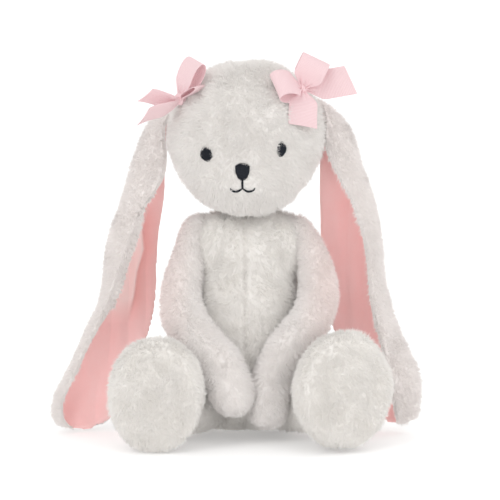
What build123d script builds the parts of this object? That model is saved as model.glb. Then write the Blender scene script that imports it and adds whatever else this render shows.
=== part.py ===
from build123d import *

import os
from math import cos, pi, radians, sin

# A seated stuffed rabbit with long lop ears, as the sewn panels, fillings and trims it is made of.
# Millimetres, +Z up. The rabbit sits on z = 0 and faces -Y. Its own left side is +X.
# The origin is on the floor under the middle of the body. Fabric surfaces are the woven backing of
# the fur: the pile itself stands about 4 mm proud of them.

# Fabric and clearances
PANEL = 2.4             # thickness of a fur panel's backing and root pile
FILL_GAP = 0.4          # between a panel and the filling behind it
SEAM_GAP = 0.3          # between two panels that meet at a seam
THREAD = 1.1            # height of satin-stitch embroidery over the fabric
OFF_FABRIC = 0.25       # air between embroidery thread and the fabric
SIDES = {"left": 1, "right": -1}

# Head levels from the chin up: height, middle in y, half width, half depth
HEAD = [
    (164, -33, 9, 7), (167, -30, 19, 14), (173, -24, 31, 25), (182, -17, 40, 36),
    (192, -12.5, 47.5, 42), (203, -9, 53, 46), (214, -7, 57, 48.5), (227, -5.5, 58, 49),
    (239, -4.5, 56, 47), (249.5, -4, 51, 43), (258.5, -3.5, 43, 36), (266, -3.5, 31, 26),
    (270, -3.5, 20, 17), (272, -3.5, 9.5, 8),
]
HEAD_MIDDLE = (0, -6, 219)
HEAD_LEAN = -2          # degrees about Y, towards the rabbit's right
HEAD_SEAM_Y = 6         # where the face panels meet the back panel
NECK = (1, 4, 173)      # centre of the stitched neck
NECK_BALL = 14
NECK_STEM = (11, 26)    # radius and length below the ball
NECK_CLEAR = 1.5

# Face embroidery, as positions on the front of the upright head
EYE = (28, 210.5, 3.9, 5.4)         # distance from the middle, height, half width, half height
NOSE = (197.3, 5.6, 6.4)            # height of the middle, half width, half height
MOUTH = (184.5, 9, 3.2, 1.1)        # height, half width, drop of each curve, line width

# Body levels from the seat up: height, half width, reach to the front, reach to the back
BODY = [
    (0, 32, 8, 38), (5, 41, 19, 45), (13, 46.5, 32, 49), (24, 49, 40, 50), (45, 50, 45, 50),
    (75, 45, 41, 45),
    (105, 36.5, 36, 39), (130, 30.5, 30, 34), (145, 27, 26.5, 29), (156, 22.5, 20, 25),
    (162, 17, 14, 19), (164, 11, 9, 13),
]
BODY_LEAN = 3           # how far the top of the body stands to the rabbit's left of its seat
BODY_SEAM_Y = -8        # where the chest panels meet the back panel

# Arms: points along the middle of the stuffed tube for an arm on +X, with the radius at each.
# The second point is the shoulder, about which the arm turns
ARMS = {
    "right": [
        (34.5, 0, 164.5), (36, -1, 153), (43, -13, 126), (47.5, -31, 98), (36, -52, 74),
        (18, -65, 55), (9.5, -74, 23),
    ],
    "left": [
        (37.5, 0, 165), (39, -1, 154), (50.5, -12, 130), (54, -28, 103), (43, -47, 79),
        (25, -58, 58), (18.6, -62.5, 37), (17.7, -65, 12.5),
    ],
}
ARM_RADII = {
    "right": [11, 11.5, 13, 14.5, 14.5, 14.8, 14.6],
    "left": [11, 11.5, 12.5, 14.3, 13.3, 12.5, 12.3],
}
ARM_CLEAR = 1.6

# Legs: hip, thigh, ankle and middle of the sole for a leg on +X
HIP = (33, -32, 24)
LEGS = {
    "right": [(24, -15, 24), HIP, (48, -58, 27), (59, -84, 36), (64, -112, 41)],
    "left": [(24, -15, 24), HIP, (53.5, -58, 29), (65.5, -83, 39), (75, -108, 46)],
}
THIGH = 18              # radius of the thigh
FEET = {"right": (31, 38), "left": (33, 39)}     # half width and half height of each big foot
FOOT_TILT = {"right": 0, "left": 16}            # degrees that the top of the foot leans outwards
FOOT_LENGTH = 32        # of the swollen foot, from the sole back
SOLE_BULGE = 7
LEG_CLEAR = 3.2

# Ears: cut level by level as front edge, fold and back edge of the hanging sheet, at each height
EARS = {
    "right": [
        (248, (-57, -8), (-62, 3), (-57, 14)), (230, (-60, -10), (-71, 3), (-60, 17)),
        (209, (-60.3, -12), (-80.5, 2), (-61.3, 18)), (187, (-64, -13), (-87.5, 1), (-62, 18)),
        (160, (-80, -14), (-96, 1), (-65, 18)), (129, (-91, -14), (-103, -1), (-68, 18)),
        (98, (-102, -15), (-107, -6), (-70, 16)), (70, (-115, -20), (-119, -12), (-75, 9)),
        (40, (-129, -26), (-133, -19), (-84, 1)), (18, (-136, -31), (-141, -24), (-94, -6)),
        (7, (-132, -32), (-136, -28), (-107, -15)), (3, (-126, -30), (-129, -27), (-116, -20)),
    ],
    "left": [
        (250, (54, -8), (59, 3), (54, 14)), (234, (60, -10), (72, 3), (60, 17)),
        (209, (62, -13), (84, 2), (58, 18)), (187, (73, -14), (91, 1), (57, 18)),
        (160, (85, -15), (98, 0), (58, 18)), (129, (92, -16), (102, -3), (59, 19)),
        (98, (95, -18), (106, -6), (63, 17)), (70, (101, -24), (116, -12), (70, 10)),
        (45, (107, -31), (127, -18), (80, 3)), (24, (111, -33), (129, -22), (92, -6)),
        (12, (113, -32), (126, -24), (102, -14)), (7, (113, -30), (121, -26), (109, -20)),
    ],
}
EAR_FUR = (0.2, 3.0)    # the fur panel, outwards from the middle of the sheet
EAR_LINING = (-0.2, -1.5)

# Bows: ribbon 22 mm wide. Each limb is its direction, the direction across the ribbon, and its length
RIBBON = 0.9
RIBBON_WIDTH = 22
LOOP_RISE = 5.5
KNOT = (4.2, 3.6, 4.6)
BOWS = {
    "right": {
        "at": (-52, -28, 254),
        "loops": [
            ((0.38, -0.06, 0.93), (0.88, -0.30, -0.36), 31),
            ((0.52, -0.80, -0.30), (0.62, 0.18, 0.76), 25),
        ],
        "tails": [
            ((-0.93, -0.33, 0.05), (0.00, -0.80, 0.55), 30),
            ((-0.78, -0.35, -0.50), (0.35, -0.75, 0.50), 34),
        ],
    },
    "left": {
        "at": (46, -32, 259),
        "loops": [
            ((-0.88, -0.46, 0.10), (0.05, 0.25, 0.97), 27),
            ((0.25, -0.05, 0.96), (0.95, 0.10, -0.28), 26),
        ],
        "tails": [
            ((0.97, -0.05, 0.20), (-0.20, 0.00, 0.98), 35),
            ((0.05, -0.40, -0.92), (0.99, 0.05, 0.02), 30),
        ],
    },
}

# Tail and seat weight
TAIL = (0, 62, 38)
TAIL_RADIUS = 17
POUCH = ((0, 10, 21), (30, 26, 13))
POUCH_SKIN = 1.2


def ring(plane, right, front, back=None):
    """A closed oval on a plane: half width along its x, reach along -y and reach along +y."""
    back = front if back is None else back
    points = []
    for step in range(12):
        angle = 2 * pi * step / 12
        reach = back if sin(angle) > 0 else front
        points.append(plane.from_local_coords((right * cos(angle), reach * sin(angle), 0)))
    return make_face(Edge.make_spline(points, periodic=True))


def head_form(inset=0.0):
    """The upright head, shrunk by inset on every side."""
    low, high = HEAD[0][0], HEAD[-1][0]
    rings = []
    for height, middle, side, depth in HEAD:
        share = (height - low) / (high - low)
        level = Plane((0, middle, low + inset + share * (high - low - 2 * inset)))
        rings.append(ring(level, side - inset, depth - inset))
    return loft(rings)


def lean(shape):
    """Tips an upright head piece sideways, as the sewn head leans."""
    return shape.rotate(Axis(HEAD_MIDDLE, (0, 1, 0)), HEAD_LEAN)


def body_form(inset=0.0):
    """The pear-shaped body on its flat seat, shrunk by inset on every side."""
    top = BODY[-1][0]
    rings = []
    for height, side, front, back in BODY:
        level = Plane((BODY_LEAN * height / top, 0, inset + height * (top - 2 * inset) / top))
        rings.append(ring(level, side - inset, front - inset, back - inset))
    return loft(rings)


def between(values, share):
    """The value a share of the way along a list of evenly spaced values."""
    place = share * (len(values) - 1)
    low = min(int(place), len(values) - 2)
    return values[low] + (values[low + 1] - values[low]) * (place - low)


def tube(path, radius_at, inset, start_round, end_round, up):
    """A stuffed tube along a path, rounded off at both ends over the given lengths.

    radius_at(distance) gives the half width and half height there. inset shrinks it on every side."""
    length = path.length
    first, last = inset, length - inset
    places = [first + start_round * (1 - cos(radians(a))) for a in (16, 30, 46, 64, 90)]
    steps = 7
    begin, end = first + start_round, last - end_round
    places += [begin + (end - begin) * k / steps for k in range(1, steps)]
    places += [last - end_round * (1 - cos(radians(a))) for a in (90, 64, 46, 30, 16)]
    rings = []
    for place in places:
        share = place / length
        shrink = 1.0
        if place < begin:
            shrink = (1 - ((begin - place) / start_round) ** 2) ** 0.5
        if place > end:
            shrink = (1 - ((place - end) / end_round) ** 2) ** 0.5
        wide, tall = radius_at(place)
        along = path.tangent_at(share)
        across = Vector(*up).cross(along).normalized()
        level = Plane(path.position_at(share), x_dir=across, z_dir=along)
        rings.append(ring(level, (wide - inset) * shrink, (tall - inset) * shrink))
    return loft(rings)


def arm_form(side, inset=0.0):
    """One arm: a slim shoulder, a fuller elbow and a rounded paw."""
    sign = SIDES[side]
    path = Edge.make_spline([Vector(sign * x, y, z) for x, y, z in ARMS[side]])
    radii = ARM_RADII[side]

    def radius_at(distance):
        radius = between(radii, distance / path.length)
        return radius, radius

    return tube(path, radius_at, inset, 11, 12, (0, 1, 0))


def leg_form(side, inset=0.0):
    """One leg: a plain thigh that swells into a big foot with a nearly flat sole."""
    sign = SIDES[side]
    path = Edge.make_spline([Vector(sign * x, y, z) for x, y, z in LEGS[side]])
    swell_from = path.length - FOOT_LENGTH - 14
    swell_to = path.length - FOOT_LENGTH + 12

    def radius_at(distance):
        share = min(max((distance - swell_from) / (swell_to - swell_from), 0), 1)
        share = share * share * (3 - 2 * share)
        return tuple(THIGH + (size - THIGH) * share for size in FEET[side])

    tilt = radians(FOOT_TILT[side])
    return tube(path, radius_at, inset, 18, SOLE_BULGE, (sign * sin(tilt), 0, cos(tilt)))


def slab(plane, low, high, reach=400):
    """A big block between two distances from a plane, for cutting panels apart."""
    return plane.offset((low + high) / 2) * Box(reach, reach, high - low)


def minus(shape, cutters):
    for cutter in cutters:
        shape = shape - cutter
    return shape


def save(name, shape):
    """Writes one node. Scraps that a cut leaves behind are dropped."""
    solids = shape.solids()
    largest = max(solid.volume for solid in solids)
    kept = [solid for solid in solids if solid.volume > 0.02 * largest]
    export_step(kept[0] if len(kept) == 1 else Compound(children=kept), f"parts/{name}.step")


def make_head():
    """Two face panels, the back panel and the filling, round the stitched neck."""
    socket = Pos(*NECK) * Sphere(NECK_BALL + NECK_CLEAR)
    stem = Pos(NECK[0], NECK[1], NECK[2] - 40) * Cylinder(NECK_BALL + NECK_CLEAR, 80)
    shell = lean(head_form() - head_form(PANEL)) - socket - stem
    back = shell & (Pos(0, HEAD_SEAM_Y + SEAM_GAP / 2 + 100, 220) * Box(300, 200, 300))
    front = shell & (Pos(0, HEAD_SEAM_Y - SEAM_GAP / 2 - 100, 220) * Box(300, 200, 300))
    save("head_back_panel", back)
    for side, sign in SIDES.items():
        half = lean(Pos(sign * (100 + SEAM_GAP / 2), 0, 220) * Box(200, 300, 300))
        save(f"{side}_face_panel", front & half)
    save("head_fill", lean(head_form(PANEL + FILL_GAP)) - socket - stem)


def make_embroidery():
    """Satin-stitched eyes, nose and mouth that lie on the face."""
    thread = head_form(-OFF_FABRIC - THREAD) - head_form(-OFF_FABRIC)
    out, eye_z, eye_wide, eye_tall = EYE
    front = Plane((0, -30, 0), x_dir=(1, 0, 0), z_dir=(0, -1, 0))
    for side, sign in SIDES.items():
        outline = front * Pos(sign * out, eye_z) * Ellipse(eye_wide, eye_tall)
        save(f"{side}_eye", lean(thread & extrude(outline, 60)))
    nose_z, nose_wide, nose_tall = NOSE
    top = nose_z + nose_tall
    foot = nose_z - nose_tall
    nose = smooth_outline([(nose_wide, top - 3.4), (0, top), (-nose_wide, top - 3.4), (0, foot)])
    save("nose", lean(thread & extrude(front * nose, 60)))
    mouth_z, mouth_wide, drop, line = MOUTH
    curves = Pos(0, (foot + mouth_z) / 2 - 0.4) * Rectangle(line, foot - mouth_z - 1.2)
    for sign in (1, -1):
        middle, corner = sign * mouth_wide * 0.55, sign * mouth_wide
        curves += trace(Spline((0, mouth_z), (middle, mouth_z - drop), (corner, mouth_z - 0.6)), line)
    save("mouth", lean(thread & extrude(front * curves, 60)))


def smooth_outline(points):
    """A closed smooth outline through points."""
    return Sketch() + make_face(Edge.make_spline([Vector(x, y, 0) for x, y in points], periodic=True))


def make_neck():
    """The stitched neck: its plug of filling and the thread that closes it."""
    radius, length = NECK_STEM
    stem = Pos(NECK[0], NECK[1], NECK[2] - length / 2) * Cylinder(radius, length)
    plug = Pos(*NECK) * Sphere(NECK_BALL) + stem
    groove = Pos(NECK[0], NECK[1], NECK[2] - 2) * Torus(NECK_BALL, 1.1)
    thread = Pos(NECK[0], NECK[1], NECK[2] - 2) * Torus(NECK_BALL, 0.8)
    save("neck_plug", plug - groove)
    save("neck_thread", thread)


def body_cutters():
    """What the body leaves room for: the neck, and the roots of the arms and legs."""
    radius, length = NECK_STEM
    cutters = [
        Pos(*NECK) * Sphere(NECK_BALL + NECK_CLEAR),
        Pos(NECK[0], NECK[1], NECK[2] - (length + 1.5) / 2) * Cylinder(radius + 1, length + 1.5),
    ]
    for side, sign in SIDES.items():
        x, y, z = ARMS[side][1]
        cutters.append(Pos(sign * x, y, z) * Sphere(ARM_RADII[side][1] + ARM_CLEAR))
        cutters.append(Pos(sign * HIP[0], *HIP[1:]) * Sphere(THIGH + LEG_CLEAR))
    return cutters


def make_body():
    """Two front panels that meet at the middle seam, the back panel, the filling and the seat weight."""
    cutters = body_cutters()
    shell = minus(body_form() - body_form(PANEL), cutters)
    save("body_back_panel", shell & (Pos(0, BODY_SEAM_Y + 100 + SEAM_GAP / 2, 90) * Box(300, 200, 300)))
    front = shell & (Pos(0, BODY_SEAM_Y - 100 - SEAM_GAP / 2, 90) * Box(300, 200, 300))
    for side, sign in SIDES.items():
        save(f"{side}_chest_panel", front & (Pos(sign * (100 + SEAM_GAP / 2), 0, 90) * Box(200, 300, 300)))
    place, half = POUCH
    pouch = Pos(*place) * scale(Sphere(1), half)
    core = Pos(*place) * scale(Sphere(1), tuple(h - POUCH_SKIN for h in half))
    pocket = Pos(*place) * scale(Sphere(1), tuple(h + FILL_GAP for h in half))
    pellets = Pos(*place) * scale(Sphere(1), tuple(h - POUCH_SKIN - FILL_GAP for h in half))
    save("seat_pouch", pouch - core)
    save("seat_pellets", pellets)
    save("body_fill", minus(body_form(PANEL + FILL_GAP), cutters + [pocket]))
    tail = Pos(*TAIL) * Sphere(TAIL_RADIUS)
    room = body_form(-1.0)
    save("tail_cover", tail - Pos(*TAIL) * Sphere(TAIL_RADIUS - PANEL) - room)
    save("tail_fill", Pos(*TAIL) * Sphere(TAIL_RADIUS - PANEL - FILL_GAP) - body_form(-1.0 - PANEL))


def make_arm(side):
    """An outer and an inner panel round the filling, joined in the plane of the bent arm."""
    sign = SIDES[side]
    shoulder, elbow, paw = (Vector(sign * x, y, z) for x, y, z in (ARMS[side][i] for i in (1, 3, 6)))
    normal = (elbow - shoulder).cross(paw - elbow).normalized() * sign
    seam = Plane(elbow, z_dir=normal)
    shell = arm_form(side) - arm_form(side, PANEL)
    save(f"{side}_arm_front_panel", shell & slab(seam, SEAM_GAP / 2, 100))
    save(f"{side}_arm_back_panel", shell & slab(seam, -100, -SEAM_GAP / 2))
    save(f"{side}_arm_fill", arm_form(side, PANEL + FILL_GAP))


def make_leg(side):
    """The leg's upper, its round sole and the filling."""
    sign = SIDES[side]
    points = [Vector(sign * x, y, z) for x, y, z in LEGS[side]]
    along = Edge.make_spline(points).tangent_at(1)
    seam = Plane(points[-1] - along * (SOLE_BULGE + 1.5), z_dir=along)
    shell = leg_form(side) - leg_form(side, PANEL)
    save(f"{side}_leg_upper", shell & slab(seam, -300, -SEAM_GAP / 2, 500))
    save(f"{side}_sole", shell & slab(seam, SEAM_GAP / 2, 60))
    save(f"{side}_leg_fill", leg_form(side, PANEL + FILL_GAP))


def ear_band(level, near, far):
    """One level's slice of an ear layer, from near to far of the sheet's middle line."""
    height, front, fold, back = level
    middle = Edge.make_spline([Vector(*front, height), Vector(*fold, height), Vector(*back, height)])
    inward = Vector(0, 0, 0) - Vector(fold[0], 0, 0)
    rows = []
    for distance in (near, far):
        row = []
        for step in range(7):
            share = step / 6
            normal = middle.tangent_at(share).cross(Vector(0, 0, 1)).normalized()
            if middle.tangent_at(0.5).cross(Vector(0, 0, 1)).dot(inward) > 0:
                normal = -normal
            row.append(middle.position_at(share) + normal * distance)
        rows.append(row)
    first, second = Edge.make_spline(rows[0]), Edge.make_spline(rows[1][::-1])
    ends = [Edge.make_line(rows[0][-1], rows[1][-1]), Edge.make_line(rows[1][0], rows[0][0])]
    return Face(Wire([first, ends[0], second, ends[1]]))


def make_ear(side):
    """A fur panel outside and a smooth lining inside, hanging folded like a leaf."""
    save(f"{side}_ear_fur", loft([ear_band(level, *EAR_FUR) for level in EARS[side]]))
    save(f"{side}_ear_lining", loft([ear_band(level, *EAR_LINING) for level in EARS[side]]))


def ribbon_limb(at, along, across, length, loop):
    """One loop or tail of a bow: a thin ribbon that leaves the knot pinched and opens to full width."""
    along = Vector(*along).normalized()
    rise = along.cross(Vector(*across)).normalized()
    across = rise.cross(along)
    side_view = Plane(Vector(*at), x_dir=along, z_dir=across)
    top_view = Plane(Vector(*at), x_dir=along, z_dir=rise)
    half = RIBBON_WIDTH / 2
    start = KNOT[0] + 0.8
    if loop:
        outer = Spline(
            (start, 1.4), (length * 0.45, LOOP_RISE), (length - 1, 2.4), (length, 0), (length - 1, -2.4),
            (length * 0.45, -LOOP_RISE), (start, -1.4),
        )
        strip = trace(outer, RIBBON)
    else:
        strip = trace(Spline((start, 0), (length * 0.5, 2.6), (length, 0.4)), RIBBON)
    sheet = extrude(side_view * strip, half, both=True)
    edge, widest = half - 0.1, length * 0.42
    end = length + 2 if loop else length - 6
    corners = [
        (start - 1, -3.4), (start - 1, 3.4), (widest, edge), (length + 2, edge), (end, -edge),
        (widest, -edge),
    ]
    outline = Polyline(*corners, close=True)
    return sheet & extrude(top_view * make_face(outline.edges()), 30, both=True)


def make_bow(side):
    """A tied ribbon bow: two loops, two tails and the knot that gathers them."""
    bow = BOWS[side]
    knot = Pos(*bow["at"]) * scale(Sphere(1), KNOT)
    room = knot + lean(head_form(-OFF_FABRIC))
    for kind, looped in (("loop", True), ("tail", False)):
        for number, (along, across, length) in enumerate(bow[kind + "s"], 1):
            save(f"{side}_bow_{kind}_{number}", ribbon_limb(bow["at"], along, across, length, looped) - room)
    save(f"{side}_bow_knot", knot)


def main():
    os.makedirs("parts", exist_ok=True)
    make_head()
    make_embroidery()
    make_neck()
    make_body()
    for side in SIDES:
        make_arm(side)
        make_leg(side)
        make_ear(side)
        make_bow(side)


main()
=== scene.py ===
"""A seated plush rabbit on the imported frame: fur covers, knit ear linings, ribbon bows, embroidered face."""

from itertools import product
from math import cos, pi, radians, sin

import bmesh
import bpy
import numpy as np
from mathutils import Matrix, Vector
from mathutils.bvhtree import BVHTree


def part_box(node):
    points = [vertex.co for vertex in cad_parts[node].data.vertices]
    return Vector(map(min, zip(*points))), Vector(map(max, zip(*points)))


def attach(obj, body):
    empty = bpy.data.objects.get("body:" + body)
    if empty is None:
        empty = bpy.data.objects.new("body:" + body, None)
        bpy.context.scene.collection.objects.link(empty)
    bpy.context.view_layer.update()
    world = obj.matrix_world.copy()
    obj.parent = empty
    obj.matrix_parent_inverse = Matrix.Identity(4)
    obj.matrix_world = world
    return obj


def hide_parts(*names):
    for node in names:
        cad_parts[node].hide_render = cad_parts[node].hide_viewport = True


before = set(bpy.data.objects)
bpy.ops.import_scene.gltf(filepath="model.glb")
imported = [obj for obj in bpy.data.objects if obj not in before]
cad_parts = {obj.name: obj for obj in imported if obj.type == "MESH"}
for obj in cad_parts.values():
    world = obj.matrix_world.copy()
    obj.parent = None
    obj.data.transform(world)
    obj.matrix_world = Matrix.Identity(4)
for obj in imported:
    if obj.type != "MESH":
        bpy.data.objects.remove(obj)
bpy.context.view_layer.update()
MM = 0.001
SIDES = {"left": 1, "right": -1}
SQUARE_MM = 1e-6         # in square metres
FLOOR_GAP = 0.3 * MM     # pile that rests on the floor is pressed flat this far above it

# Pile: the most hairs of one cover, then each hair's thickness, how far its root is sunk, how far hairs lean
# over along the comb, how wide a tuft is and how much a tip is pulled to its tuft's middle
MOST_HAIRS = 66000
HAIR_THICK = 0.34 * MM
ROOT_SUNK = 0.5 * MM
LEAN = 0.8
TUFT = 3.0 * MM
TUFT_PULL = 0.4

# Seams: how wide and how deep the groove is, and how far from it the cover and the pile reach full height
SEAM_WIDE = 1.7 * MM
SEAM_DEEP = 1.5 * MM
SEAM_EASE = 6 * MM
SEAM_PILE_EASE = 2.2 * MM


# ---------------------------------------------------------------- random fields

def random_at(cell, seed):
    """A repeatable random number from 0 to 1 for each whole-number cell."""
    n = cell[:, 0] * 73856093 ^ cell[:, 1] * 19349663 ^ cell[:, 2] * 83492791 ^ seed * 2654435761
    n = (n ^ (n >> 13)) * 1274126177 & 0xFFFFFFFF
    n = (n ^ (n >> 16)) * 2246822519 & 0xFFFFFFFF
    return (n ^ (n >> 15) & 0xFFFFFFFF) % 1000003 / 1000003


def noise(points, size, seed):
    """Smooth random values from -1 to 1, with bumps about size wide."""
    place = points / size
    cell = np.floor(place).astype(np.int64)
    part = place - cell
    part = eased(part)
    total = np.zeros(len(points))
    for corner in product((0, 1), repeat=3):
        weight = np.prod(np.where(np.array(corner) == 1, part, 1 - part), axis=1)
        total += weight * random_at(cell + np.array(corner), seed)
    return total * 2 - 1


def nearest_tuft(points, size, seed):
    """The middle of the tuft that each point belongs to, and a random number for that tuft."""
    cell = np.floor(points / size).astype(np.int64)
    best = np.full(len(points), np.inf)
    middle = np.zeros_like(points)
    number = np.zeros(len(points))
    for step in product((-1, 0, 1), repeat=3):
        here = cell + np.array(step)
        shift = np.stack([random_at(here, seed + k) for k in range(3)], axis=1)
        centre = (here + shift) * size
        gap = ((centre - points) ** 2).sum(axis=1)
        closer = gap < best
        best[closer] = gap[closer]
        middle[closer] = centre[closer]
        number[closer] = random_at(here[closer], seed + 7)
    return middle, number


def unit(vectors):
    return vectors / np.maximum(np.linalg.norm(vectors, axis=1, keepdims=True), 1e-9)


def between(values, start, end):
    """0 up to start, 1 past end and a straight line from one to the other. end may be below start."""
    return np.clip((values - start) / (end - start), 0, 1)


def eased(share):
    """The same share from 0 to 1 with a soft start and end."""
    return share * share * (3 - 2 * share)


# ---------------------------------------------------------------- meshes

def arrays(mesh):
    """Vertices, triangles and vertex normals of a mesh."""
    mesh.calc_loop_triangles()
    points = np.zeros(len(mesh.vertices) * 3)
    mesh.vertices.foreach_get("co", points)
    normals = np.zeros(len(mesh.vertices) * 3)
    mesh.vertices.foreach_get("normal", normals)
    triangles = np.zeros(len(mesh.loop_triangles) * 3, dtype=np.int32)
    mesh.loop_triangles.foreach_get("vertices", triangles)
    return points.reshape(-1, 3), triangles.reshape(-1, 3), normals.reshape(-1, 3)


def move_points(mesh, points):
    points = points.copy()
    points[:, 2] = np.maximum(points[:, 2], FLOOR_GAP)
    mesh.vertices.foreach_set("co", points.ravel())
    mesh.update()


def link(name, mesh, material):
    obj = bpy.data.objects.new(name, mesh)
    bpy.context.scene.collection.objects.link(obj)
    mesh.materials.clear()
    mesh.materials.append(material)
    mesh.shade_smooth()
    return obj


def dress(name, mesh, material, body, slot, *replaced):
    """A piece of the visual model: it rides one body and stands for some CAD nodes."""
    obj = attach(link(name, mesh, material), body)
    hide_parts(*replaced)
    return obj


def cad_tree(nodes):
    """A search tree over the triangles of some CAD nodes."""
    points, faces = [], []
    for node in nodes:
        p, t, _ = arrays(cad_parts[node].data)
        faces += (t + len(points)).tolist()
        points += p.tolist()
    return BVHTree.FromPolygons(points, faces)


def distances(tree, points):
    return np.array([tree.find_nearest(p)[3] for p in points.tolist()])


def wrapped(name, nodes, voxel, passes):
    """One closed, smoothed surface round some CAD solids, with the slits between them filled."""
    mesh = bpy.data.meshes.new(name)
    work = bmesh.new()
    for node in nodes:
        work.from_mesh(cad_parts[node].data)
    bmesh.ops.remove_doubles(work, verts=work.verts, dist=0.001 * MM)
    work.to_mesh(mesh)
    work.free()
    obj = bpy.data.objects.new(name, mesh)
    bpy.context.scene.collection.objects.link(obj)
    remesh = obj.modifiers.new("closed", "REMESH")
    remesh.mode, remesh.voxel_size = "VOXEL", voxel
    soft = obj.modifiers.new("soft", "SMOOTH")
    soft.factor, soft.iterations = 0.5, passes
    bpy.context.view_layer.update()
    done = bpy.data.meshes.new_from_object(obj.evaluated_get(bpy.context.evaluated_depsgraph_get()))
    bpy.data.objects.remove(obj)
    keep_largest(done)
    return done


def keep_largest(mesh):
    """Drops the small closed shells that slits inside the CAD solids leave behind."""
    work = bmesh.new()
    work.from_mesh(mesh)
    left, groups = set(work.verts), []
    while left:
        group, edge = set(), [left.pop()]
        while edge:
            vert = edge.pop()
            group.add(vert)
            for line in vert.link_edges:
                other = line.other_vert(vert)
                if other in left:
                    left.discard(other)
                    edge.append(other)
        groups.append(group)
    groups.sort(key=len)
    for group in groups[:-1]:
        bmesh.ops.delete(work, geom=list(group), context="VERTS")
    work.to_mesh(mesh)
    work.free()


def ball_round(name, nodes, centre, steps, passes):
    """A smooth closed surface found by looking in at some CAD solids from every direction.

    Each look is repeated a little to the side, so that none slips through the slit at a seam."""
    work = bmesh.new()
    bmesh.ops.create_cube(work, size=2)
    bmesh.ops.subdivide_edges(work, edges=work.edges, cuts=steps, use_grid_fill=True)
    tree, far, centre = cad_tree(nodes), 0.4, Vector(centre)
    aside = [Vector(step) * MM for step in ((0, 0, 0), (1, 0, 0), (-1, 0, 0), (0, 1, 0), (0, -1, 0))]
    for vert in work.verts:
        out = Vector(np.tan(np.array(vert.co) * pi / 4)).normalized()
        hits = [tree.ray_cast(centre + out * far + step, -out, far)[0] for step in aside]
        reach = max([(hit - centre).dot(out) for hit in hits if hit] + [10 * MM])
        vert.co = centre + out * reach
    for _ in range(passes):
        bmesh.ops.smooth_vert(work, verts=work.verts, factor=0.5,
                              use_axis_x=True, use_axis_y=True, use_axis_z=True)
    mesh = bpy.data.meshes.new(name)
    work.to_mesh(mesh)
    work.free()
    return mesh


def seam_distance(points, panels):
    """How far each point of a cover is from the line where two of its panels meet."""
    if len(panels) == 1:
        return np.full(len(points), 1.0)
    gaps = np.sort([distances(cad_tree([panel]), points) for panel in panels], axis=0)
    return gaps[1] - gaps[0]


def sculpt(mesh, panels, grow, lump, seed, seam_depth=SEAM_DEEP):
    """Puffs a cover between its seams, sinks the seams and adds soft lumps of filling."""
    points, _, normals = arrays(mesh)
    gap = seam_distance(points, panels)
    height = grow * (1 - 0.5 * np.exp(-gap / SEAM_EASE)) - seam_depth * np.exp(-((gap / SEAM_WIDE) ** 2))
    height += lump * noise(points, 17 * MM, seed) + 0.45 * lump * noise(points, 7 * MM, seed + 1)
    move_points(mesh, points + normals * height[:, None])
    return gap


# ---------------------------------------------------------------- fur

def fur(name, skin, body, material, density, length, seam, bare, flow, seed):
    """Short tapered hairs of pile all over a cover, gathered into small tufts and combed along flow.

    density is hairs per square millimetre, and seam is each vertex's distance from the nearest seam.
    bare(points) gives 0 where no pile stands and 1 where it is full."""
    rng = np.random.default_rng(seed)
    points, triangles, normals = arrays(skin)
    corner = points[triangles]
    areas = np.linalg.norm(np.cross(corner[:, 1] - corner[:, 0], corner[:, 2] - corner[:, 0]), axis=1) / 2
    count = min(int(areas.sum() / SQUARE_MM * density), MOST_HAIRS)
    chosen = rng.choice(len(triangles), count, p=areas / areas.sum())
    share = np.sort(rng.random((count, 2)), axis=1)
    share = np.stack([share[:, 0], share[:, 1] - share[:, 0], 1 - share[:, 1]], axis=1)[:, :, None]
    root = (corner[chosen] * share).sum(axis=1)
    up = unit((normals[triangles[chosen]] * share).sum(axis=1))
    long = length * (0.7 + 0.6 * rng.random(count)) * (1 + 0.2 * noise(root, 8 * MM, seed))
    if seam is not None:
        gap = (seam[triangles[chosen]] * share[:, :, 0]).sum(axis=1)
        long *= 0.6 + 0.4 * (1 - np.exp(-gap / SEAM_PILE_EASE))
    if bare is not None:
        cover = bare(root)
        kept = cover > 0.05
        root, up, long, count = root[kept], up[kept], (long * cover)[kept], int(kept.sum())
    comb = np.array(flow) + 0.9 * np.stack([noise(root, 16 * MM, seed + k) for k in (11, 12, 13)], axis=1)
    comb = unit(comb - up * (comb * up).sum(axis=1, keepdims=True))
    tuft, number = nearest_tuft(root, TUFT, seed + 20)
    pull = tuft - root
    pull -= up * (pull * up).sum(axis=1, keepdims=True)
    along = unit(up + comb * LEAN * (0.7 + 0.6 * number)[:, None] + rng.normal(size=(count, 3)) * 0.3)
    tip = root + along * long[:, None] + pull * TUFT_PULL
    along = unit(tip - root)
    side = unit(np.cross(along, up) + rng.normal(size=(count, 3)) * 0.02)
    over = unit(np.cross(side, along))
    thick = (HAIR_THICK * (0.7 + 0.6 * rng.random(count)))[:, None]
    base = root - up * ROOT_SUNK
    ring = [base + (side * cos(a) + over * sin(a)) * thick for a in (pi / 2, pi * 7 / 6, pi * 11 / 6)]
    hairs = np.stack([*ring, tip], axis=1).reshape(-1, 3)
    hairs[:, 2] = np.maximum(hairs[:, 2], FLOOR_GAP)
    lump = up * 0.55 - pull / TUFT * 0.2 + rng.normal(size=(count, 3)) * 0.06
    around = [unit(lump + (point - base) / thick) for point in ring]
    shade = []
    for a, b in ((0, 1), (1, 2), (2, 0)):
        shade += [around[b], around[a], unit(around[a] + around[b])]
    return hair_mesh(name, hairs, np.stack(shade, axis=1).reshape(-1, 3), count, body, material)


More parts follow.
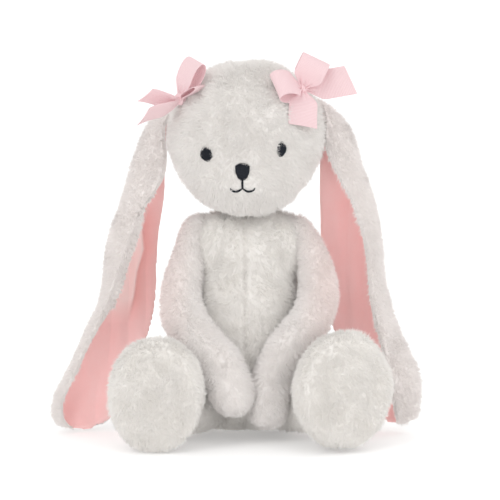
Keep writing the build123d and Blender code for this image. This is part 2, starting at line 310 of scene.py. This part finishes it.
def hair_mesh(name, points, normals, count, body, material):
    """Builds all the hairs of one cover as a mesh, each with its own small square of a texture map.

    normals has one row for each corner of each hair's three faces. Thin hairs let light through, so the pile
    throws no shadow of its own, and the cover under it does."""
    first = np.arange(count, dtype=np.int32)[:, None] * 4
    loops = (first + np.array([[1, 0, 3, 2, 1, 3, 0, 2, 3]], dtype=np.int32)).ravel()
    mesh = bpy.data.meshes.new(name)
    mesh.vertices.add(len(points))
    mesh.vertices.foreach_set("co", points.ravel())
    mesh.loops.add(len(loops))
    mesh.loops.foreach_set("vertex_index", loops)
    mesh.polygons.add(count * 3)
    mesh.polygons.foreach_set("loop_start", np.arange(0, count * 9, 3, dtype=np.int32))
    mesh.update(calc_edges=True)
    across = int(np.ceil(np.sqrt(count)))
    cell = np.stack([np.arange(count) % across, np.arange(count) // across], axis=1)[:, None, :]
    spot = []
    for left in (0.05, 0.35, 0.65):
        spot += [(left, 0.1), (left + 0.3, 0.1), (left + 0.15, 0.9)]
    layer = mesh.uv_layers.new(name="OFBake")
    layer.uv.foreach_set("vector", ((cell + np.array([spot])) / across).astype(np.float32).ravel())
    mesh.normals_split_custom_set(normals.tolist())
    obj = link(name, mesh, material)
    obj.visible_shadow = False
    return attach(obj, body)


# ---------------------------------------------------------------- materials

def material_tree(name, roughness, sheen=0.0):
    """A new material with its node tree and its Principled surface, set to the given roughness and sheen."""
    made = bpy.data.materials.new(name)
    made.use_nodes = True
    tree = made.node_tree
    surface = tree.nodes["Principled BSDF"]
    surface.inputs["Roughness"].default_value = roughness
    surface.inputs["Sheen Weight"].default_value = sheen
    surface.inputs["Sheen Roughness"].default_value = 0.5
    surface.inputs["Specular IOR Level"].default_value = 0.25
    return made, tree, surface


def textured(tree, kind, size, **settings):
    """A texture node laid out in the object's own metres, with features about size across."""
    place = tree.nodes.new("ShaderNodeTexCoord")
    node = tree.nodes.new("ShaderNodeTex" + kind)
    node.inputs["Scale"].default_value = 1 / size
    for name, value in settings.items():
        if name in node.inputs:
            node.inputs[name].default_value = value
        else:
            setattr(node, name, value)
    tree.links.new(place.outputs["Object"], node.inputs["Vector"])
    return node


def ramp(tree, source, colours, stops=(0.3, 0.7)):
    node = tree.nodes.new("ShaderNodeValToRGB")
    for element, colour, stop in zip(node.color_ramp.elements, colours, stops):
        element.color, element.position = (*colour, 1), stop
    tree.links.new(source, node.inputs["Fac"])
    return node.outputs["Color"]


def blend_colours(tree, first, second, share):
    node = tree.nodes.new("ShaderNodeMix")
    node.data_type = "RGBA"
    node.inputs["Factor"].default_value = share
    tree.links.new(first, node.inputs["A"])
    tree.links.new(second, node.inputs["B"])
    return node.outputs["Result"]


def bump(tree, surface, source, height, strength=1.0):
    node = tree.nodes.new("ShaderNodeBump")
    node.inputs["Distance"].default_value = height
    node.inputs["Strength"].default_value = strength
    tree.links.new(source, node.inputs["Height"])
    tree.links.new(node.outputs["Normal"], surface.inputs["Normal"])


def fur_material(name, light, dark, painted_bounce=0.0):
    """Plush pile: broad soft patches of tone and finer mottling between tufts.

    The last argument is how much painted pink light, bounced from the ears, the toy's outer sides show."""
    made, tree, surface = material_tree(name, 0.85, 0.25)
    broad = textured(tree, "Noise", 14 * MM, Detail=3.0)
    fine = textured(tree, "Noise", 1.3 * MM, Detail=2.0)
    patches = ramp(tree, broad.outputs["Fac"], (dark, light), (0.25, 0.6))
    strands = ramp(tree, fine.outputs["Fac"], (dark, light), (0.25, 0.65))
    colour = blend_colours(tree, patches, strands, 0.5)
    # Painted light: pink light bounced from the ear linings, painted on more strongly the further a point is
    # from the middle.
    if painted_bounce:
        place = tree.nodes.new("ShaderNodeTexCoord")
        parts = tree.nodes.new("ShaderNodeSeparateXYZ")
        out = tree.nodes.new("ShaderNodeMath")
        out.operation = "ABSOLUTE"
        share = tree.nodes.new("ShaderNodeMapRange")
        limits = {"From Min": 38 * MM, "From Max": 66 * MM, "To Min": 0.0, "To Max": painted_bounce}
        for socket, value in limits.items():
            share.inputs[socket].default_value = value
        pink = tree.nodes.new("ShaderNodeRGB")
        pink.outputs[0].default_value = (0.98, 0.80, 0.77, 1)
        tree.links.new(place.outputs["Object"], parts.inputs[0])
        tree.links.new(parts.outputs["X"], out.inputs[0])
        tree.links.new(out.outputs[0], share.inputs["Value"])
        mixed = blend_colours(tree, colour, pink.outputs[0], 0.0)
        tree.links.new(share.outputs["Result"], mixed.node.inputs["Factor"])
        colour = mixed
    tree.links.new(colour, surface.inputs["Base Color"])
    bump(tree, surface, fine.outputs["Fac"], 0.3 * MM, 0.4)
    return made


def lining_material():
    """Smooth pink knit: a very fine brushed grain, soft blotches and a velvety edge."""
    made, tree, surface = material_tree("ear_lining_knit", 0.75, 0.5)
    surface.inputs["Sheen Tint"].default_value = (1.0, 0.8, 0.8, 1)
    broad = textured(tree, "Noise", 22 * MM, Detail=3.0)
    grain = textured(tree, "Noise", 0.7 * MM, Detail=3.0)
    base = ramp(tree, broad.outputs["Fac"], ((0.93, 0.57, 0.56), (0.955, 0.63, 0.62)), (0.3, 0.7))
    fine = ramp(tree, grain.outputs["Fac"], ((0.91, 0.54, 0.53), (0.965, 0.66, 0.65)), (0.3, 0.7))
    colour = blend_colours(tree, base, fine, 0.35)
    # Painted light: the turned-over flap is painted paler as a highlight, and the crease beside it is painted
    # darker as shade.
    for kind, tint in (("turned", (0.98, 0.77, 0.75, 1)), ("crease", (0.86, 0.42, 0.40, 1))):
        stored = tree.nodes.new("ShaderNodeAttribute")
        stored.attribute_name = kind
        flat = tree.nodes.new("ShaderNodeRGB")
        flat.outputs[0].default_value = tint
        colour = blend_colours(tree, colour, flat.outputs[0], 0.0)
        tree.links.new(stored.outputs["Fac"], colour.node.inputs["Factor"])
    tree.links.new(colour, surface.inputs["Base Color"])
    surface.inputs["Emission Color"].default_value = (1.0, 0.60, 0.58, 1)
    surface.inputs["Emission Strength"].default_value = 0.10     # painted glow that stands in for daylight through the thin knit
    bump(tree, surface, grain.outputs["Fac"], 0.15 * MM, 0.5)
    return made


def ribbon_material():
    """Grosgrain ribbon: fine ribs straight across, from the ribbon's own length and width."""
    made, tree, surface = material_tree("ribbon_grosgrain", 0.6, 0.3)
    surface.inputs["Sheen Tint"].default_value = (1.0, 0.85, 0.87, 1)
    place = tree.nodes.new("ShaderNodeUVMap")
    place.uv_map = "length_width"
    ribs = tree.nodes.new("ShaderNodeTexWave")
    ribs.bands_direction = "X"
    ribs.inputs["Scale"].default_value = 0.314 / 1.1
    ribs.inputs["Distortion"].default_value = 0.4
    tree.links.new(place.outputs["UV"], ribs.inputs["Vector"])
    colour = ramp(tree, ribs.outputs["Fac"], ((0.82, 0.59, 0.61), (0.87, 0.68, 0.70)), (0.1, 0.8))
    tree.links.new(colour, surface.inputs["Base Color"])
    surface.inputs["Emission Color"].default_value = (1.0, 0.66, 0.69, 1)
    surface.inputs["Emission Strength"].default_value = 0.09     # painted glow that stands in for light through the thin ribbon
    bump(tree, surface, ribs.outputs["Fac"], 0.25 * MM, 0.8)
    return made


def thread_material(name, light, dark):
    """Twisted embroidery thread with a slight gloss."""
    made, tree, surface = material_tree(name, 0.55)
    twist = textured(tree, "Noise", 0.5 * MM, Detail=2.0)
    tree.links.new(ramp(tree, twist.outputs["Fac"], (dark, light)), surface.inputs["Base Color"])
    bump(tree, surface, twist.outputs["Fac"], 0.12 * MM, 0.5)
    return made


def inner_material(name, light, dark, size):
    """A plain mottled finish for what is sealed inside the covers."""
    made, tree, surface = material_tree(name, 0.9)
    grain = textured(tree, "Noise", size, Detail=4.0)
    tree.links.new(ramp(tree, grain.outputs["Fac"], (dark, light)), surface.inputs["Base Color"])
    bump(tree, surface, grain.outputs["Fac"], 0.3 * size, 0.5)
    return made


# Lit and shaded copies of one pile: the arm copy is painted lighter and the head copy a touch darker than the
# body's, as painted light and shade, and the arm copy also gets painted pink bounce light.
FUR = fur_material("fur_body", (0.955, 0.93, 0.90), (0.90, 0.87, 0.83))
FUR_HEAD = fur_material("fur_head", (0.945, 0.92, 0.895), (0.885, 0.855, 0.825))
FUR_ARM = fur_material("fur_arm", (0.985, 0.95, 0.93), (0.94, 0.90, 0.875), 0.5)
FUR_EAR = fur_material("fur_ear", (0.96, 0.915, 0.895), (0.90, 0.85, 0.825))
LINING = lining_material()
RIBBON = ribbon_material()
DARK = thread_material("thread_navy", (0.018, 0.022, 0.034), (0.004, 0.005, 0.008))
FILLING = inner_material("filling_fibre", (0.88, 0.88, 0.86), (0.72, 0.72, 0.70), 2 * MM)
POUCH = inner_material("pouch_cotton", (0.70, 0.67, 0.60), (0.58, 0.55, 0.49), 0.8 * MM)
PELLETS = inner_material("pellets_plastic", (0.75, 0.75, 0.72), (0.62, 0.62, 0.60), 1.5 * MM)


# ---------------------------------------------------------------- head

def middle(node):
    """The middle of a CAD node's box."""
    low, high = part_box(node)
    return (Vector(low) + Vector(high)) / 2


# The face as it sits on the stuffed and slightly twisted head: each part's shift from its CAD node, in mm
FACE_SHIFT = {"left_eye": (-2, 0, 1.5), "right_eye": (0, 0, 0), "nose": (-2.5, 0, 0), "mouth": (-2.5, 0, 0)}
FACE = {name: middle(name) + Vector(shift) * MM for name, shift in FACE_SHIFT.items()}
HEAD_PANELS = ["left_face_panel", "right_face_panel", "head_back_panel"]
# Half the width and height of the bare patch under each, in mm, and the value of spot() at its edge
FACE_BARE = {"left_eye": (3.5, 5.6), "right_eye": (4.2, 5.6), "nose": (4.9, 5.9)}
EDGE = 0.37


def spot(points, centre, wide, tall):
    """How near each point of the face is to a feature: 1 in its middle, 0 far off, seen from the front."""
    away = ((points[:, 0] - centre[0]) / wide) ** 2 + ((points[:, 2] - centre[2]) / tall) ** 2
    return np.exp(-away) * (points[:, 1] < centre[1] + 15 * MM)


def shape_head(points, normals):
    """Puffs the muzzle, sinks the eyes, narrows the jaw, lifts the chin and fills the crown."""
    muzzle = (FACE["nose"] + FACE["mouth"]) / 2
    height = 3.0 * MM * spot(points, muzzle, 17 * MM, 12 * MM)
    for side in SIDES:
        height -= 2.2 * MM * spot(points, FACE[f"{side}_eye"], 8 * MM, 9 * MM)
    points = points + normals * height[:, None]
    jaw = between(points[:, 2], 215 * MM, 180 * MM)
    chin = between(points[:, 2], 192 * MM, 162 * MM) * between(points[:, 1], 5 * MM, -25 * MM)
    crown = between(points[:, 2], 232 * MM, 272 * MM) ** 2
    points[:, 0] *= np.where(points[:, 0] < 0, 0.957, 1 - 0.045 * jaw)
    left_crown = crown * np.exp(-((points[:, 0] - 24 * MM) / (16 * MM)) ** 2)
    points[:, 2] += (3 * crown + 2.5 * left_crown + 3.5 * chin) * MM
    return points


def bare_face(roots):
    """No pile stands under the embroidery, and it is short beside it."""
    keep = np.ones(len(roots))
    for name, (wide, tall) in FACE_BARE.items():
        keep -= spot(roots, FACE[name], wide * MM, tall * MM) > EDGE
        keep -= 0.45 * spot(roots, FACE[name], 1.7 * wide * MM, 1.5 * tall * MM)
    keep -= 0.75 * spot(roots, FACE["mouth"], 9.5 * MM, 5 * MM)
    return np.clip(keep, 0, 1)


def make_head():
    skin = ball_round("head_cover", HEAD_PANELS, middle("head_fill"), 68, 4)
    sculpt(skin, HEAD_PANELS, 0, 0.9 * MM, 3, 0)
    points, _, normals = arrays(skin)
    move_points(skin, shape_head(points, normals))
    dress("head_cover", skin, FUR_HEAD, "head", "fur", *HEAD_PANELS)
    fur("head_pile", skin, "head", FUR_HEAD, 1.65, 4.8 * MM, None, bare_face, (0, 0.4, -1), 31)
    return BVHTree.FromPolygons(*[a.tolist() for a in arrays(skin)[:2]])


def thread(points, radius, sides=6):
    """A round thread through some points, tapered at both ends."""
    verts, faces = [], []
    for k, point in enumerate(points):
        along = (points[min(k + 1, len(points) - 1)] - points[max(k - 1, 0)]).normalized()
        side = along.cross(Vector((0, -1, 0))).normalized()
        over = side.cross(along)
        share = k / (len(points) - 1)
        thick = radius * (1 - 0.75 * abs(2 * share - 1) ** 6)
        for s in range(sides):
            angle = 2 * pi * s / sides
            verts.append(point + (side * cos(angle) + over * sin(angle)) * thick)
    for k in range(len(points) - 1):
        for s in range(sides):
            a, b = k * sides + s, k * sides + (s + 1) % sides
            faces.append((a, b, b + sides, a + sides))
    ends = [tuple(range(sides))[::-1], tuple(range(len(verts) - sides, len(verts)))]
    return verts, faces + ends


def on_face(tree, x, z, proud):
    """The point of the face behind (x, z), raised by proud."""
    spot_on, normal, _, _ = tree.ray_cast(Vector((x, -0.3, z)), Vector((0, 1, 0)), 0.6)
    return spot_on + normal * proud


def stitched(name, tree, lines, radius, dome, replaced):
    """Satin stitch: threads laid side by side over the face along each line of (x, z) points."""
    verts, faces = [], []
    for line in lines:
        steps = 9
        path = []
        for k in range(steps):
            place = k / (steps - 1) * (len(line) - 1)
            low = min(int(place), len(line) - 2)
            x, z = np.array(line[low]) + (np.array(line[low + 1]) - np.array(line[low])) * (place - low)
            arch = dome * (1 - abs(2 * k / (steps - 1) - 1) ** 3)
            path.append(on_face(tree, x, z, 0.5 * MM + arch))
        v, f = thread(path, radius)
        faces += [tuple(i + len(verts) for i in face) for face in f]
        verts += v
    mesh = bpy.data.meshes.new(name)
    mesh.from_pydata(verts, [], faces)
    dress(name, mesh, DARK, "head", "dark_thread", replaced)


def oval_lines(centre, wide, tall, tilt, count):
    """Upright threads that fill an oval."""
    lines = []
    for k in range(count):
        across = (2 * (k + 0.5) / count - 1) * wide
        reach = tall * (1 - (across / wide) ** 2) ** 0.5
        ends = [(across, reach), (across, 0), (across, -reach)]
        lines.append([(centre[0] + x * cos(tilt) + z * sin(tilt), centre[2] - x * sin(tilt) + z * cos(tilt))
                      for x, z in ends])
    return lines


# Half the width of each eye, and how far it tilts
EYES = {"left": (3.4 * MM, radians(8)), "right": (4.3 * MM, radians(-22))}
NOSE_THREADS = 13
# One half of the smile, from the middle out: x and z in mm
SMILE = [(0.2, 0.9), (2.0, -0.3), (4.2, -1.1), (6.4, -0.9), (8.2, 0.2), (9.0, 1.2)]


def make_face(tree):
    for side, (wide, tilt) in EYES.items():
        lines = oval_lines(FACE[f"{side}_eye"], wide, 6.0 * MM, tilt, 10)
        stitched(f"{side}_eye_stitches", tree, lines, 0.5 * MM, 0.9 * MM, f"{side}_eye")
    nose = FACE["nose"]
    lines = []
    for k in range(NOSE_THREADS):
        across = 2 * (k + 0.5) / NOSE_THREADS - 1
        top = 6.0 * MM - 2.2 * MM * abs(across) ** 2.5
        low = -6.8 * MM * (1 - abs(across) ** 2.6) ** 0.5
        x = nose[0] + across * 5.2 * MM
        lean = across * 0.4 * MM
        lines.append([(x, nose[2] + top), (x - lean, nose[2]), (x - 2 * lean, nose[2] + low)])
    stitched("nose_stitches", tree, lines, 0.55 * MM, 1.3 * MM, "nose")
    foot = nose[2] - 6 * MM
    low, lines = nose[2] - 13.5 * MM, []
    for shift in (-0.35 * MM, 0.35 * MM):
        x = nose[0] + shift
        lines.append([(x, foot), (x, (foot + low) / 2), (x, low)])
        for sign in (1, -1):
            lines.append([(nose[0] + sign * x * MM, low + z * MM + shift) for x, z in SMILE])
    stitched("mouth_stitches", tree, lines, 0.42 * MM, 0.5 * MM, "mouth")


# ---------------------------------------------------------------- body and limbs

def make_body():
    panels = ["left_chest_panel", "right_chest_panel", "body_back_panel"]
    low, high = np.array(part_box("body_back_panel")).reshape(2, 3)
    skin = ball_round("body_cover", panels, (0, 0, (low[2] + high[2]) * 0.45), 66, 14)
    gap = sculpt(skin, panels, 2.0 * MM, 1.0 * MM, 5)
    points, _, _ = arrays(skin)
    move_points(skin, shoulders(points, high[2]))
    dress("body_cover", skin, FUR, "torso", "fur", *panels)
    fur("body_pile", skin, "torso", FUR, 1.35, 4.8 * MM, gap, None, (0, 0, -1), 41)


def shoulders(points, top):
    """Widens the top of the body into a rounded box: the sloping shoulders that the arms hang from."""
    left, right = middle("left_arm_fill"), middle("right_arm_fill")
    centre = np.array([(left.x + right.x) / 2 * 0.6, 0, top - 30 * MM])
    half = np.array([43 * MM, 25 * MM, 33 * MM])
    squareness = 2.6
    away = (points - centre) / half
    reach = (np.abs(away) ** squareness).sum(axis=1) ** (1 / squareness)
    share = eased(between(points[:, 2], top - 62 * MM, top - 32 * MM))
    grown = centre + (points - centre) / np.maximum(reach, 1e-6)[:, None]
    return np.where((reach < 1)[:, None], points + (grown - points) * share[:, None], points)


def make_limb(name, panels, fill, body, voxel, density, seed, finish, slope=None):
    """A sewn cover and its pile, from the CAD panels that it replaces."""
    skin = wrapped(name + "_cover", [*panels, fill], voxel, 9)
    gap = sculpt(skin, panels, 0.5 * MM, 0.9 * MM, seed)
    if slope:
        move_points(skin, slope(arrays(skin)[0]))
    dress(name + "_cover", skin, finish, body, "fur", *panels)
    fur(name + "_pile", skin, body, finish, density, 4.4 * MM, gap, None, (0, -0.2, -1), seed + 50)


def slope_shoulder(sign):
    """A function that slopes the root of an arm in towards the neck."""
    def slope(points):
        up = between(points[:, 2], 144 * MM, 168 * MM) ** 2
        return points + up[:, None] * np.array([-5.5 * sign, 0, -3.5]) * MM
    return slope


def make_neck():
    """The furred neck that closes the gap between head and body."""
    skin = wrapped("neck_cover", ["neck_plug"], 2 * MM, 4)
    points, _, normals = arrays(skin)
    move_points(skin, points + normals * np.array([7, 7, 5]) * MM)
    dress("neck_cover", skin, FUR, "neck", "fur", "neck_thread", "neck_plug")
    fur("neck_pile", skin, "neck", FUR, 1.2, 4 * MM, None, None, (0, 0, -1), 90)


# ---------------------------------------------------------------- ears

# Where the front of the right lining turns over: height and x, in metres
LINING_FOLD = [(0.080, -0.090), (0.100, -0.086), (0.119, -0.0836),
               (0.136, -0.0783), (0.151, -0.0798), (0.1665, -0.0752)]


def turned_front(points):
    """How far each point of the right lining turns forward over its fold, and how deep in the painted shade of
    its crease.
    """
    across = points[:, 0] - np.interp(points[:, 2], *np.array(LINING_FOLD).T)
    ends = between(points[:, 2], 80 * MM, 98 * MM)
    ends = np.minimum(ends, between(points[:, 2], 172 * MM, 154 * MM))
    turned = eased(between(across, 1.5 * MM, -1.5 * MM)) * ends
    return turned, np.exp(-np.abs(across - 2 * MM) / (8 * MM)) * (1 - turned) * ends


def trimmed_rim(lining, node):
    """A function that says where an ear's pile stands, so that none fringes the lining's rims."""
    tree = cad_tree([node])
    rows = arrays(lining)[0]
    rows = rows[np.argsort(rows[:, 2])]
    low, high = rows[0, 2], rows[-1, 2]
    rim = np.array([(row[:, 2].mean(), np.abs(row[:, 0]).min()) for row in np.array_split(rows, 40)])

    def bare(roots):
        lining_y = np.array([tree.find_nearest(p)[0].y for p in roots.tolist()])
        behind = roots[:, 1] > lining_y - 1.3 * MM
        inward = np.abs(roots[:, 0]) - np.interp(roots[:, 2], rim[:, 0], rim[:, 1])
        room = np.minimum(inward, roots[:, 2] - low)
        hidden = behind & (roots[:, 2] < high - 4 * MM)
        return np.where(hidden, between(room, 2.2 * MM, 6.7 * MM), 1.0)
    return bare


def make_ear(side, seed):
    """One folded ear: a fur back and a smooth lining, parted along the edge where they are sewn."""
    back_node, front_node = f"{side}_ear_fur", f"{side}_ear_lining"
    whole = wrapped(f"{side}_ear", [back_node, front_node], 1.15 * MM, 6)
    points, _, normals = arrays(whole)
    inside = distances(cad_tree([front_node]), points) < distances(cad_tree([back_node]), points)
    wave = points * np.array([1, 1, 0.45])
    height = 0.9 * MM * noise(wave, 13 * MM, seed) + 0.35 * MM * noise(wave, 5 * MM, seed + 1)
    folds = noise(points * np.array([1, 1, 0.12]), 12 * MM, seed + 2)
    height += np.where(inside, 1.8 * MM * np.abs(folds), -0.8 * MM)
    if side == "right":
        turned, crease = turned_front(points)
        height += np.where(inside, 4.2 * MM * turned, 0)
        # Both also colour the lining: a painted highlight on the turned-over flap and painted shade in the
        # crease beside it.
        for kind, values in (("turned", turned), ("crease", crease)):
            stored = whole.attributes.new(kind, "FLOAT", "POINT")
            stored.data.foreach_set("value", values.astype(np.float32))
    points += normals * height[:, None]
    root = between(points[:, 2], 230 * MM, 250 * MM)[:, None] ** 2
    move_points(whole, points * (1 - root * np.array([0.09, 0.8, 0])))
    back, front = whole, whole.copy()
    drop_verts(front, ~inside)
    drop_verts(back, inside, keep_border=True)
    dress(f"{side}_ear_lining_knit", front, LINING, f"{side}_ear", "ear_lining", front_node)
    dress(f"{side}_ear_cover", back, FUR_EAR, f"{side}_ear", "fur", back_node)
    bare = trimmed_rim(front, front_node)
    flow = (0, -0.25, -1)
    fur(f"{side}_ear_pile", back, f"{side}_ear", FUR_EAR, 2.2, 3.5 * MM, None, bare, flow, seed + 60)


def drop_verts(mesh, unwanted, keep_border=False):
    """Deletes the faces whose corners are all unwanted, or any of them unless keep_border."""
    work = bmesh.new()
    work.from_mesh(mesh)
    test = all if keep_border else any
    faces = [f for f in work.faces if test(unwanted[v.index] for v in f.verts)]
    bmesh.ops.delete(work, geom=faces, context="FACES")
    work.to_mesh(mesh)
    work.free()


# ---------------------------------------------------------------- bows

RIBBON_HALF = 11 * MM
# Where each knot sits from the middle of its CAD node. Then each limb: its direction, the direction across
# it, its length, how far its layers stand apart and how far its cut end slants, in mm
BOWS = {
    "right": ((4, 0, -4), [
        ("loop_1", (0.42, -0.08, 0.90), (0.50, -0.80, -0.33), 31, 6.0, 0),
        ("loop_2", (0.80, -0.42, 0.46), (0.40, 0.88, 0.12), 20, 2.4, 0),
        ("tail_1", (-0.90, -0.42, 0.07), (-0.38, 0.82, -0.42), 28, 2.6, 2),
        ("tail_2", (-0.77, -0.48, -0.41), (-0.30, 0.80, -0.50), 34, 2.6, 3),
    ]),
    "left": ((-4, 0, -1.5), [
        ("loop_1", (-0.72, -0.68, 0.10), (0.45, -0.36, -0.82), 26, 7.5, 0),
        ("loop_2", (0.42, -0.22, 0.87), (0.88, 0.05, -0.44), 25, 7.5, 0),
        ("tail_1", (0.97, -0.15, 0.17), (0.24, 0.00, -0.97), 37, 2.6, 3),
        ("tail_2", (0.02, -0.46, -0.89), (0.97, 0.22, -0.10), 31, 2.6, 1),
    ]),
}


def ribbon(name, start, along, across, length, spread, slant, looped, replaced):
    """A length of ribbon that leaves the knot in pleats and opens flat, as a loop or a cut tail."""
    along = Vector(along).normalized()
    rise = along.cross(Vector(across)).normalized()
    across = rise.cross(along)
    length = length * MM
    lengthwise, crosswise = (61 if looped else 37), 15
    verts, uvs, travelled, last = [], [], 0.0, (0.0, 0.0)
    for i in range(lengthwise):
        t = i / (lengthwise - 1)
        if looped:
            out = length * (1 - cos(2 * pi * t)) / 2
            lift = spread * MM * sin(2 * pi * t) * sin(pi * t) ** 1.2
        else:
            out = length * t
            lift = spread * MM * (sin(pi * t) + 0.45 * sin(2 * pi * t))
        travelled += ((out - last[0]) ** 2 + (lift - last[1]) ** 2) ** 0.5
        last = (out, lift)
        open_share = eased(min(max((out / length) / 0.45, 0), 1))
        half = RIBBON_HALF * (0.22 + 0.78 * open_share)
        for j in range(crosswise):
            v = 2 * j / (crosswise - 1) - 1
            pleat = 1.5 * MM * (1 - open_share) * cos(3.2 * pi * v)
            cup = 0.8 * MM * v * v * open_share * (1 if not looped else 0.5)
            cut = slant * MM * v * t ** 3
            place = Vector(start) + along * (out + cut) + across * (half * v) + rise * (lift + pleat - cup)
            verts.append(place)
            uvs.append((travelled / MM, 11 * v))
    mesh = grid_mesh(name, verts, lengthwise, crosswise, uvs)
    obj = link(name, mesh, RIBBON)
    thick = obj.modifiers.new("thickness", "SOLIDIFY")
    thick.thickness, thick.offset = 0.5 * MM, 0
    smooth = obj.modifiers.new("smooth", "SUBSURF")
    smooth.levels = smooth.render_levels = 1
    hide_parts(replaced)
    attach(obj, "head")


def grid_mesh(name, verts, rows, columns, uvs):
    """A sheet of quads with its own length and width as texture coordinates."""
    faces = []
    for i in range(rows - 1):
        for j in range(columns - 1):
            a = i * columns + j
            faces.append((a, a + 1, a + 1 + columns, a + columns))
    mesh = bpy.data.meshes.new(name)
    mesh.from_pydata(verts, [], faces)
    layer = mesh.uv_layers.new(name="length_width")
    for item in mesh.loops:
        layer.data[item.index].uv = uvs[item.vertex_index]
    return mesh


def knot(name, centre, seed, replaced):
    """The gathered middle of a bow: a short wrap of ribbon with creases."""
    rows, columns = 25, 40
    verts, uvs = [], []
    for i in range(rows):
        v = 2 * i / (rows - 1) - 1
        for j in range(columns):
            angle = 2 * pi * j / (columns - 1)
            crease = 1 + 0.10 * cos(5 * angle + 1.5 * v) + 0.05 * cos(9 * angle - v + seed)
            thick = 3.7 * MM * (1 - 0.55 * abs(v) ** 3) * crease
            out = Vector((thick * cos(angle), 0.8 * thick * sin(angle), 4.6 * MM * v))
            verts.append(Vector(centre) + out)
            uvs.append((14 * j / columns, 5 * v))
    obj = link(name, grid_mesh(name, verts, rows, columns, uvs), RIBBON)
    smooth = obj.modifiers.new("smooth", "SUBSURF")
    smooth.levels = smooth.render_levels = 1
    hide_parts(replaced)
    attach(obj, "head")


def make_bows():
    for side, (shift, limbs) in BOWS.items():
        centre = middle(f"{side}_bow_knot") + Vector(shift) * MM
        for kind, *shape in limbs:
            node = f"{side}_bow_{kind}"
            ribbon(node + "_ribbon", centre, *shape, "loop" in kind, node)
        knot(f"{side}_bow_knot_wrap", centre, 1 + SIDES[side], f"{side}_bow_knot")


# ---------------------------------------------------------------- studio

def soft_light(name, place, aim, size, power):
    lamp = bpy.data.lights.new(name, "AREA")
    lamp.shape, lamp.size, lamp.energy = "DISK", size, power
    obj = bpy.data.objects.new(name, lamp)
    bpy.context.scene.collection.objects.link(obj)
    obj.location = place
    obj.rotation_euler = (Vector(aim) - Vector(place)).to_track_quat("-Z", "Y").to_euler()


def make_studio():
    work = bmesh.new()
    start, bend = 0.9, 0.6     # where the floor curves up behind the toy, and the radius of the curve
    curve = [(start + bend * sin(a), bend - bend * cos(a)) for a in np.linspace(0.1, pi / 2, 12)]
    rows = [(-1.6, 0), (start, 0), *curve, (start + bend, 2.5)]
    lines = [[work.verts.new((x, y, z)) for x in (-2.5, 2.5)] for y, z in rows]
    for a, b in zip(lines, lines[1:]):
        work.faces.new((a[0], a[1], b[1], b[0]))
    mesh = bpy.data.meshes.new("studio_floor")
    work.to_mesh(mesh)
    work.free()
    made, tree, surface = material_tree("studio_floor", 0.95)
    speck = textured(tree, "Noise", 0.2, Detail=2.0)
    paper = ramp(tree, speck.outputs["Fac"], ((0.94, 0.94, 0.94), (0.96, 0.96, 0.96)))
    tree.links.new(paper, surface.inputs["Base Color"])
    surface.inputs["Emission Color"].default_value = (1, 1, 1, 1)
    surface.inputs["Emission Strength"].default_value = 0.22
    link("studio_floor", mesh, made)
    world = bpy.data.worlds.new("studio_world")
    world.use_nodes = True
    sky = world.node_tree
    backdrop = sky.nodes["Background"]
    backdrop.inputs["Color"].default_value = (1.0, 0.995, 0.99, 1)
    seen = sky.nodes.new("ShaderNodeLightPath")
    level = sky.nodes.new("ShaderNodeMath")     # the backdrop looks whiter than it lights
    level.operation = "MULTIPLY_ADD"
    level.inputs[1].default_value, level.inputs[2].default_value = 0.25, 0.86
    sky.links.new(seen.outputs["Is Camera Ray"], level.inputs[0])
    sky.links.new(level.outputs[0], backdrop.inputs["Strength"])
    bpy.context.scene.world = world
    soft_light("key", (-0.7, -1.2, 1.3), (0, 0, 0.14), 0.9, 3.5)
    soft_light("fill", (1.2, -1.0, 0.8), (0, 0, 0.14), 1.0, 2)
    soft_light("top", (0.1, 0.2, 1.6), (0, 0, 0.1), 1.2, 1)
    camera = bpy.data.cameras.new("camera")
    camera.sensor_width, camera.lens = 36, 123
    camera.clip_start, camera.clip_end = 0.05, 20
    obj = bpy.data.objects.new("camera", camera)
    bpy.context.scene.collection.objects.link(obj)
    aim, distance, height = Vector((0.0038, 0, 0.136)), 1.30, radians(4)
    obj.location = aim + Vector((0, -cos(height), sin(height))) * distance
    obj.rotation_euler = (aim - obj.location).to_track_quat("-Z", "Y").to_euler()
    bpy.context.scene.camera = obj
    bpy.context.scene.view_settings.view_transform = "Standard"


# ---------------------------------------------------------------- everything

make_face(make_head())
make_body()
make_neck()
for side, sign in SIDES.items():
    arm, leg = f"{side}_arm", f"{side}_leg"
    arm_panels = [f"{arm}_front_panel", f"{arm}_back_panel"]
    leg_panels = [f"{leg}_upper", f"{side}_sole"]
    slope = slope_shoulder(sign)
    make_limb(arm, arm_panels, f"{arm}_fill", arm, 1.8 * MM, 1.7, 11 + sign, FUR_ARM, slope)
    make_limb(leg, leg_panels, f"{leg}_fill", leg, 2.2 * MM, 1.7, 17 + sign, FUR)
    make_ear(side, 23 + sign)
make_limb("tail", ["tail_cover"], "tail_fill", "torso", 1.8 * MM, 1.8, 29, FUR)
make_bows()

for node, finish in (("fill", FILLING), ("seat_pouch", POUCH), ("seat_pellets", PELLETS)):
    for name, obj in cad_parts.items():
        if name.endswith(node):
            obj.data.materials.clear()
            obj.data.materials.append(finish)

make_studio()
